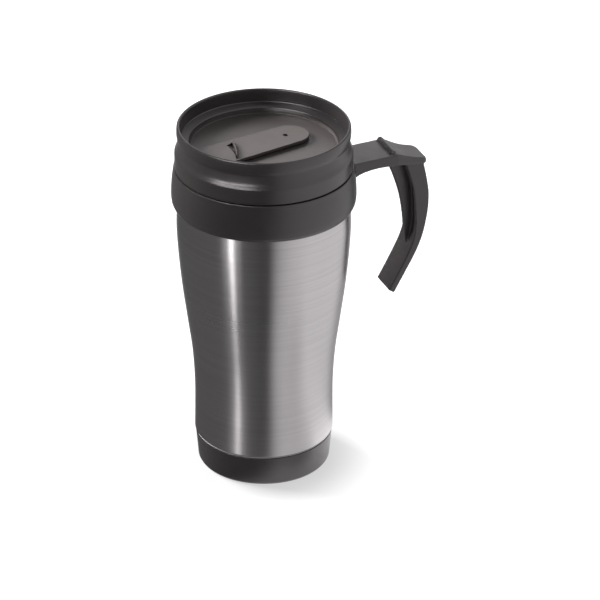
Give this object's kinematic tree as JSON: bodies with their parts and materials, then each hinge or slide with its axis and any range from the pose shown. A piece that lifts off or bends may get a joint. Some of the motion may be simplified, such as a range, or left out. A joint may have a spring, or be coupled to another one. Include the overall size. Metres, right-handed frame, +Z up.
{
  "type": "insulated travel mug",
  "caption": "Double-walled travel mug with a waisted brushed steel sleeve, black plastic collar, base and open handle, and a push-on lid with a slide closure.",
  "frame": {"origin": "on the mug's axis, at the face it stands on", "axes": "+Z up along the mug's axis, +X from the axis towards the handle, +Y across the handle"},
  "size_m": [0.1223, 0.085, 0.1725],
  "materials": {
    "steel": "brushed around the body, satin",
    "black_plastic": "fine moulded texture, satin",
    "lid_plastic": "smooth moulded, satin",
    "slider_plastic": "smooth moulded, satin",
    "liner_plastic": "smooth moulded, satin",
    "pad_rubber": "matt, fine grain",
    "silicone": "soft matt",
    "screw_steel": "zinc plated"
  },
  "bodies": {
    "root": {"outer_shell": "steel", "inner_liner": "liner_plastic", "collar_ring": "black_plastic", "shell_top_seal": "silicone", "shell_bottom_seal": "silicone", "base_cap": "black_plastic", "base_pad": "pad_rubber", "handle": "black_plastic", "handle_screw_1": "screw_steel", "handle_screw_2": "screw_steel"},
    "gasket": {"lid_gasket": "silicone"},
    "lid": {"lid_body": "lid_plastic"},
    "slider": {"slider": "slider_plastic", "slider_seal": "silicone", "slider_clip": "slider_plastic"}
  },
  "joints": [
    {"name": "lid_lift", "type": "slide", "parent": "root", "child": "gasket", "axis": [0, 0, 1], "range_m": [0, 0.08]},
    {"name": "lid_turn", "type": "hinge", "parent": "gasket", "child": "lid", "pos_m": [0, 0, 0.1465], "axis": [0, 0, 1], "continuous": true},
    {"name": "slider_slide", "type": "slide", "parent": "lid", "child": "slider", "axis": [0.9781, 0.2079, 0], "range_m": [0, 0.0095]}
  ]
}
